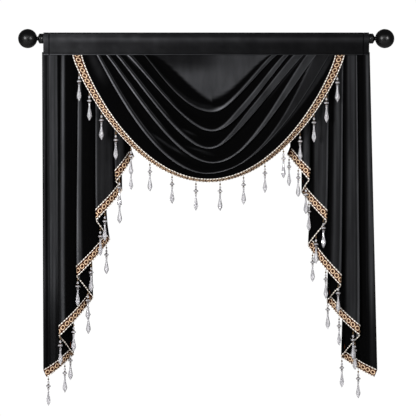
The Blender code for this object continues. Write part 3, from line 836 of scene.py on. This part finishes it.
def tapestry(name, dark, light, scale, rough=0.7, metal=0.0, shine=0.5):
    """Woven ground: short warp ribs in two close tones."""
    cloth, tree, shader = new_material(name, {"Roughness": rough, "Metallic": metal, "Specular IOR Level": shine})
    flat = new_node(tree, "UVMap", uv_map="cloth")
    ribs = new_node(tree, "TexWave", {"Scale": scale, "Distortion": 1.5, "Detail": 2},
                    wave_type="BANDS", bands_direction="X")
    tone = two_tones(tree, dark, light, end=0.7)
    relief = new_node(tree, "Bump", {"Strength": 0.5, "Distance": 0.0004})
    wire(tree, (flat, "UV", ribs, "Vector"), (ribs, "Fac", tone, "Fac"), (tone, "Color", shader, "Base Color"),
         (ribs, "Fac", relief, "Height"), (relief, "Normal", shader, "Normal"))
    return cloth


brown_ground = tapestry("brown_ground", (0.010, 0.003, 0.001), (0.070, 0.018, 0.007), 400, rough=0.9, shine=0.05)
gold_yarn = tapestry("gold_yarn", (0.44, 0.25, 0.12), (0.96, 0.72, 0.50), 500, rough=0.45, metal=0.1, shine=0.3)
cream_cord = tapestry("cream_cord", (0.26, 0.19, 0.14), (1.0, 0.95, 0.88), 27, rough=0.6, shine=0.3)


def flat_pattern(wide):
    """The points and faces of the primitive just added, pressed flat, to be sewn on many times."""
    pattern = bpy.context.object
    edit_all(pattern)
    bpy.ops.transform.resize(value=(wide, 1.0, 0.5), center_override=(0, 0, 0))
    bpy.ops.object.mode_set(mode="OBJECT")
    points = [vertex.co.copy() for vertex in pattern.data.vertices]
    faces = [tuple(face.vertices) for face in pattern.data.polygons]
    bpy.data.objects.remove(pattern, do_unlink=True)
    return points, faces


# one ring of the chain, flat on the ground, and the knot in its middle
bpy.ops.mesh.primitive_torus_add(major_segments=14, minor_segments=5, major_radius=0.0066, minor_radius=0.0017)
ring_points, ring_faces = flat_pattern(1.14)
bpy.ops.mesh.primitive_ico_sphere_add(subdivisions=1, radius=0.0022)
knot_points, knot_faces = flat_pattern(1.2)


def line_lengths(line):
    """The way along a line of points up to each of them."""
    lengths = [0.0]
    for start, end in zip(line, line[1:]):
        lengths.append(lengths[-1] + (end - start).length)
    return lengths


def even_marks(line, step):
    """Places at even distances along a line of points, as fractional point numbers."""
    lengths = line_lengths(line)
    count = max(2, round(lengths[-1] / step))
    marks, number = [], 0
    for place in range(count + 1):
        goal = lengths[-1] * place / count
        while number < len(line) - 2 and lengths[number + 1] < goal:
            number += 1
        span = lengths[number + 1] - lengths[number]
        marks.append(number + (goal - lengths[number]) / span)
    return marks


GROUND, YARN, CORD = range(3)  # which of the braid's three materials a face has


def sew_braid(name, band, node):
    """Lays the tape, its cords and its chain on a band of points that runs along the hem.

    The band has rows along the hem, each from the edge upwards."""
    lengths = line_lengths([row[BAND_ROWS // 2] for row in band])
    normals = []
    for number, row in enumerate(band):
        before, after = band[max(number - 1, 0)], band[min(number + 1, len(band) - 1)]
        normals.append([])
        for place in range(len(row)):
            along = after[place] - before[place]
            up = row[min(place + 1, BAND_ROWS)] - row[max(place - 1, 0)]
            normals[-1].append(up.cross(along).normalized())

    def place_on(length, share, out):
        low, part = span_at(lengths, length)
        height = share * BAND_ROWS
        row = min(max(math.floor(height), 0), BAND_ROWS - 1)
        rise = height - row

        def across(of):
            lower = of[low][row].lerp(of[low + 1][row], part)
            upper = of[low][row + 1].lerp(of[low + 1][row + 1], part)
            return lower + (upper - lower) * rise

        return across(band) + across(normals).normalized() * out

    points, faces, uvs, stuffs = [], [], [], []

    def add(flat_points, new_faces, stuff):
        offset = len(points)
        for length, share, out in flat_points:
            points.append(place_on(length, share, out))
            uvs.append((length, share * BRAID_WIDTH))
        for face in new_faces:
            faces.append(tuple(corner + offset for corner in face))
            stuffs.append(stuff)

    total = lengths[-1]
    steps = round(total / FINE_STEP)
    stations = [total * step / steps for step in range(steps + 1)]
    # tape: a flat closed section
    section = [(0.02, TAPE_LOW), (0.98, TAPE_LOW), (0.98, TAPE_HIGH), (0.80, TAPE_HIGH), (0.5, TAPE_HIGH),
               (0.20, TAPE_HIGH), (0.02, TAPE_HIGH)]
    # cords: round sections on the two edges
    cords = [[(share + math.cos(math.radians(turn)) * radius / BRAID_WIDTH,
               out + math.sin(math.radians(turn)) * radius) for turn in range(0, 360, 60)]
             for share, out, radius in ((0.050, 0.00125, 0.0020), (0.985, 0.0019, 0.0018))]
    # where the right side faces back, the lower cord is rolled round the edge of the cloth
    rolled, low = [], 0
    for length in stations:
        while low < len(lengths) - 2 and lengths[low + 1] < length:
            low += 1
        rolled.append(swell(normals[low][0].y, -0.2, 0.4))
    for outline, stuff, rolls in ((section, GROUND, 0), (cords[0], CORD, 1), (cords[1], CORD, 0)):
        sides = len(outline)
        flat = [(length, share - 0.045 * roll * rolls, out - 0.00125 * roll * rolls)
                for length, roll in zip(stations, rolled) for share, out in outline]
        new_faces = []
        for number in range(len(stations) - 1):
            for side in range(sides):
                a = number * sides + side
                b = number * sides + (side + 1) % sides
                new_faces.append((a, b, b + sides, a + sides))
        new_faces.append(tuple(range(sides))[::-1])
        new_faces.append(tuple(len(flat) - sides + side for side in range(sides)))
        add(flat, new_faces, stuff)
    count = round(total / CHAIN_PITCH)
    pitch = total / count
    for number in range(count):
        centre = (number + 0.5) * pitch
        for shape, shape_faces, rise, stuff in ((ring_points, ring_faces, 0.0004, YARN),
                                                (knot_points, knot_faces, 0.0002, GROUND)):
            flat = [(min(max(centre + point.x, 0), total), 0.50 + point.y / BRAID_WIDTH,
                     TAPE_HIGH + rise + point.z) for point in shape]
            add(flat, shape_faces, stuff)
    braid = sewn_mesh(name, points, faces, uvs)
    for stuff in (brown_ground, gold_yarn, cream_cord):
        braid.data.materials.append(stuff)
    braid.data.polygons.foreach_set("material_index", stuffs)
    edit_all(braid)
    close_outwards()
    bpy.ops.object.shade_smooth_by_angle(angle=math.radians(60))
    braid.select_set(False)
    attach(braid, "root")
    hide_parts(node)
    return braid


FINE_COLUMNS = 600
fine_across = [math.sin(SWAG_SPREAD * (2 * step / FINE_COLUMNS - 1)) / math.sin(SWAG_SPREAD)
               for step in range(FINE_COLUMNS + 1)]


def swag_band(across):
    """One row of the swag's band of braid, from the hem upwards."""
    return [swag_point(HEM_EDGE - step / BAND_ROWS, step / BAND_ROWS, across) for step in range(BAND_ROWS + 1)]


hem_line = [swag_point(HEM_EDGE, 0, across) for across in fine_across]
marks = even_marks(hem_line, 0.0015)
band = []
for mark in marks:
    number = min(int(mark), FINE_COLUMNS - 1)
    across = between(fine_across[number], fine_across[number + 1], mark - number)
    band.append(swag_band(across))
# both ends of the braid go on up into the header with the cloth
TUCK_STEPS = 6
band = [[point + Vector((0, 0, (TUCK_TOP - TUCK_END) * (1 - step / TUCK_STEPS))) for point in band[0]]
        for step in range(TUCK_STEPS)] + band
band += [[point + Vector((0, 0, (TUCK_TOP - TUCK_END) * (step + 1) / TUCK_STEPS)) for point in band[-1]]
         for step in range(TUCK_STEPS)]
swag_braid = sew_braid("braid_swag", band[::-1], "trim_swag")


PLANS_A_METRE = 4000  # the band is laid on plans a quarter of a millimetre apart


def cascade_band(side, folds):
    """The band along a cascade's hem, its rows square to the hem in the flat cloth."""
    heights, _, _, cuts = cascade_hem(folds)
    plans = {}

    def plan(height):
        key = round(height * PLANS_A_METRE)
        if key not in plans:
            run = cascade_plan(folds, key / PLANS_A_METRE)[0]
            plans[key] = (run, run_lengths(run))
        return plans[key]

    last = len(heights) - 1
    flat = []
    for column, height in enumerate(heights):
        run, lengths = plan(height)
        flat.append((drawn_length(run, lengths, column, cuts[column]), height))
    line = [Vector((length, height, 0)) for length, height in flat]
    marks = even_marks(line, FINE_STEP)
    tangents = []
    for mark in marks:
        number = min(int(mark), last - 1)
        tangents.append((line[number + 1] - line[number]).normalized())
    smooth = []
    for number in range(len(tangents)):
        near = tangents[max(0, number - 5):number + 6]
        smooth.append(sum(near, Vector()).normalized())
    band = []
    for mark, tangent in zip(marks, smooth):
        number = min(int(mark), last - 1)
        part = mark - number
        height = between(line[number].y, line[number + 1].y, part)
        run, lengths = plan(height)
        base_low, base_high = lengths[number], lengths[number + 1]
        base = between(drawn_length(run, lengths, number, cuts[number]),
                       drawn_length(run, lengths, number + 1, cuts[number + 1]), part)
        row = []
        for step in range(BAND_ROWS + 1):
            rise = BRAID_WIDTH * step / BAND_ROWS
            here = height + rise * tangent.x
            run, lengths = plan(here)
            shift = between(lengths[number], lengths[number + 1], part) - between(base_low, base_high, part)
            reach, depth = cloth_at(run, lengths, base + shift - rise * tangent.y)
            row.append(Vector((side * reach, depth, here)))
        band.append(row)
    return band


left_braid = sew_braid("braid_left", cascade_band(-1, LEFT_FOLDS), "trim_left")
right_braid = sew_braid("braid_right", cascade_band(1, RIGHT_FOLDS)[::-1], "trim_right")


# The bead drops: each hangs from the braid's lower edge on a gold thread, with a gilt seed bead, a
# round rose bead, a wide rose disc between two gilt cups, and a cap on a long cut teardrop, both clear.
def cut_crystal(name, edge, rim_start):
    """Clear moulded crystal, clouded inside, with painted shade where it is seen edge on."""
    crystal, tree, shader = new_material(name, {"Transmission Weight": 0.35, "IOR": 1.55, "Roughness": 0.06})
    where = new_node(tree, "TexCoord")
    cloud = new_node(tree, "TexNoise", {"Scale": 190})
    tint = two_tones(tree, (0.44, 0.43, 0.46), (0.80, 0.79, 0.82), 0.36, 0.62)
    rim = new_node(tree, "LayerWeight", {"Blend": 0.35})
    painted_edge_shade = new_node(tree, "MapRange", {"From Min": rim_start, "From Max": 0.95})
    shade = new_node(tree, "Mix", {"B": (*edge, 1)}, data_type="RGBA")
    wire(tree, (where, "Object", cloud, "Vector"), (cloud, "Fac", tint, "Fac"), (rim, "Facing", painted_edge_shade, "Value"),
         (painted_edge_shade, "Result", shade, "Factor"), (tint, "Color", shade, "A"), (shade, "Result", shader, "Base Color"))
    return crystal


# the colours of the painted edge shade: grey on the clear crystal, brown on the rose
clear_crystal = cut_crystal("clear_crystal", (0.11, 0.105, 0.11), 0.22)
rose_crystal = cut_crystal("rose_crystal", (0.065, 0.028, 0.022), 0.10)

gold_metal, tree, shader = new_material("antique_gold", {"Metallic": 0.8})
where = new_node(tree, "TexCoord")
cloud = new_node(tree, "TexNoise", {"Scale": 400})
tint = two_tones(tree, (0.05, 0.03, 0.015), (0.22, 0.14, 0.07))
wear_and_painted_light = new_node(tree, "MapRange", {"To Min": 0.25, "To Max": 0.5})
wire(tree, (where, "Object", cloud, "Vector"), (cloud, "Fac", tint, "Fac"), (tint, "Color", shader, "Base Color"),
     (cloud, "Fac", wear_and_painted_light, "Value"), (wear_and_painted_light, "Result", shader, "Roughness"))

# each bead of a drop: sides, then rows of (distance below the edge, radius)
THREAD = (6, [(-0.0020, 0.0008), (0.0800, 0.0008)])
SEED = (8, [(0.0094, 0.0012), (0.0106, 0.0028), (0.0127, 0.0034), (0.0147, 0.0028), (0.0158, 0.0012)])
ROUND = (8, [(0.0186, 0.0010), (0.0202, 0.0028), (0.0246, 0.0044), (0.0284, 0.0030), (0.0294, 0.0010)])
UPPER_CUP = (8, [(0.0300, 0.0014), (0.0308, 0.0036), (0.0326, 0.0046), (0.0329, 0.0016)])
DISC = (10, [(0.0331, 0.0020), (0.0341, 0.0058), (0.0362, 0.0086), (0.0394, 0.0086), (0.0415, 0.0058),
             (0.0425, 0.0020)])
LOWER_CUP = (8, [(0.0427, 0.0016), (0.0430, 0.0044), (0.0446, 0.0034), (0.0452, 0.0014)])
CAP = (8, [(0.0455, 0.0012), (0.0462, 0.0040), (0.0475, 0.0052), (0.0488, 0.0040), (0.0495, 0.0012)])
TEAR = (6, [(0.0500, 0.0012), (0.0508, 0.0036), (0.0528, 0.0036), (0.0576, 0.0028), (0.0670, 0.0040),
            (0.0770, 0.0060), (0.0862, 0.0080), (0.0918, 0.0088), (0.0965, 0.0080), (0.1098, 0.0010)])


CLEAR, ROSE, GOLD = range(3)  # which of a drop's three materials a bead has


def turn_bead(sides, rows, stuff):
    """One bead turned about the thread, cut in flat facets."""
    bpy.ops.mesh.primitive_circle_add(vertices=sides, radius=rows[0][1], fill_type="NGON",
                                      location=(0, 0, -rows[0][0]))
    bead = bpy.context.object
    settle(bead)
    edit_all(bead)
    for (above, old), (below, radius) in zip(rows, rows[1:]):
        bpy.ops.mesh.extrude_region_move(TRANSFORM_OT_translate={"value": (0, 0, above - below)})
        grow = radius / old
        bpy.ops.transform.resize(value=(grow, grow, 1), center_override=(0, 0, -below))
    close_outwards()
    for material in (clear_crystal, rose_crystal, gold_metal):
        bead.data.materials.append(material)
    for face in bead.data.polygons:
        face.material_index = stuff
    return bead


bpy.ops.object.select_all(action="DESELECT")
beads = [turn_bead(*bead, stuff) for bead, stuff in (
    (THREAD, GOLD), (SEED, GOLD), (ROUND, ROSE), (UPPER_CUP, GOLD), (DISC, ROSE), (LOWER_CUP, GOLD),
    (CAP, CLEAR), (TEAR, CLEAR))]


def join_all(pieces, name):
    """Joins pieces into one under a new name and leaves it unselected."""
    bpy.ops.object.select_all(action="DESELECT")
    for piece in pieces:
        piece.select_set(True)
    bpy.context.view_layer.objects.active = pieces[0]
    bpy.ops.object.join()
    pieces[0].name = name
    pieces[0].select_set(False)
    return pieces[0]


pattern_drop = join_all(beads, "pattern_drop")
DROP_TURN = 2.4  # how far each drop is turned on its thread from the one before, in radians


def hang_drops(name, places, node):
    """A row of drops at places on the braid's lower edge, each turned a little on its thread."""
    copies = []
    for number, place in enumerate(places):
        copy = pattern_drop.copy()
        copy.data = pattern_drop.data.copy()
        scene.collection.objects.link(copy)
        copy.location = place
        copy.rotation_euler = (0, 0, number * DROP_TURN)
        copies.append(copy)
    drops = settle(join_all(copies, name))
    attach(drops, "root")
    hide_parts(node)
    return drops


def crossing(line, x):
    """The point where a line of points first crosses x."""
    for start, end in zip(line, line[1:]):
        if start.x != end.x and min(start.x, end.x) <= x <= max(start.x, end.x):
            return start.lerp(end, (x - start.x) / (end.x - start.x))
    raise ValueError(f"no hem at {x}")


SWAG_DROPS = [
    -0.4672, -0.4292, -0.3846, -0.3314, -0.2754, -0.2061, -0.1250, -0.0376,
    0.0509, 0.1368, 0.2150, 0.2832, 0.3444, 0.3956, 0.4417, 0.4823,
]
# stretch of hem between two folds, from the inner edge, and the distance from the middle
LEFT_DROPS = [
    (0, 0.2780), (0, 0.3197), (2, 0.3204), (2, 0.3735), (3, 0.3905), (4, 0.3694), (4, 0.4240),
    (4, 0.4730), (5, 0.4376), (6, 0.4370), (6, 0.4885), (6, 0.5368), (7, 0.5029), (8, 0.5236),
    (8, 0.5811),
]
RIGHT_DROPS = [
    (0, 0.3064), (0, 0.3396), (1, 0.3676), (2, 0.3790), (2, 0.4317), (3, 0.4056), (4, 0.3938),
    (4, 0.4410), (4, 0.4859), (5, 0.4502), (6, 0.4911), (6, 0.5409), (7, 0.5486), (8, 0.5036),
    (8, 0.5615),
]
BRAID_MIDDLE = 0.0015  # how far the threads stand off the cloth, in the middle of the braid's edge
RAISED = (0.006, 0.006, 0.004)  # the drops nearest each end of the hem are knotted shorter
lifts = RAISED + (0.0,) * (len(SWAG_DROPS) - 2 * len(RAISED)) + RAISED[::-1]
places = [crossing(hem_line, x) + Vector((0, -BRAID_MIDDLE, lift)) for x, lift in zip(SWAG_DROPS, lifts)]
swag_drops = hang_drops("drops_swag", places, "trim_swag")


def cascade_drop_places(side, folds, drops):
    """The points on a cascade's hem that its drops hang from."""
    heights, _, crowns, cuts = cascade_hem(folds)
    hem = []
    for column, height in enumerate(heights):
        run = cascade_plan(folds, height)[0]
        lengths = run_lengths(run)
        reach, depth = cloth_at(run, lengths, drawn_length(run, lengths, column, cuts[column]))
        hem.append(Vector((side * reach, depth, height)))
    places = []
    for stretch, reach in drops:
        line = hem[crowns[stretch]:crowns[stretch + 1] + 1]
        face = -BRAID_MIDDLE if stretch % 2 == 0 else BRAID_MIDDLE
        places.append(crossing(line, side * reach) + Vector((0, face, 0)))
    return places


left_drops = hang_drops("drops_left", cascade_drop_places(-1, LEFT_FOLDS, LEFT_DROPS), "trim_left")
right_drops = hang_drops("drops_right", cascade_drop_places(1, RIGHT_FOLDS, RIGHT_DROPS), "trim_right")
bpy.data.objects.remove(pattern_drop, do_unlink=True)
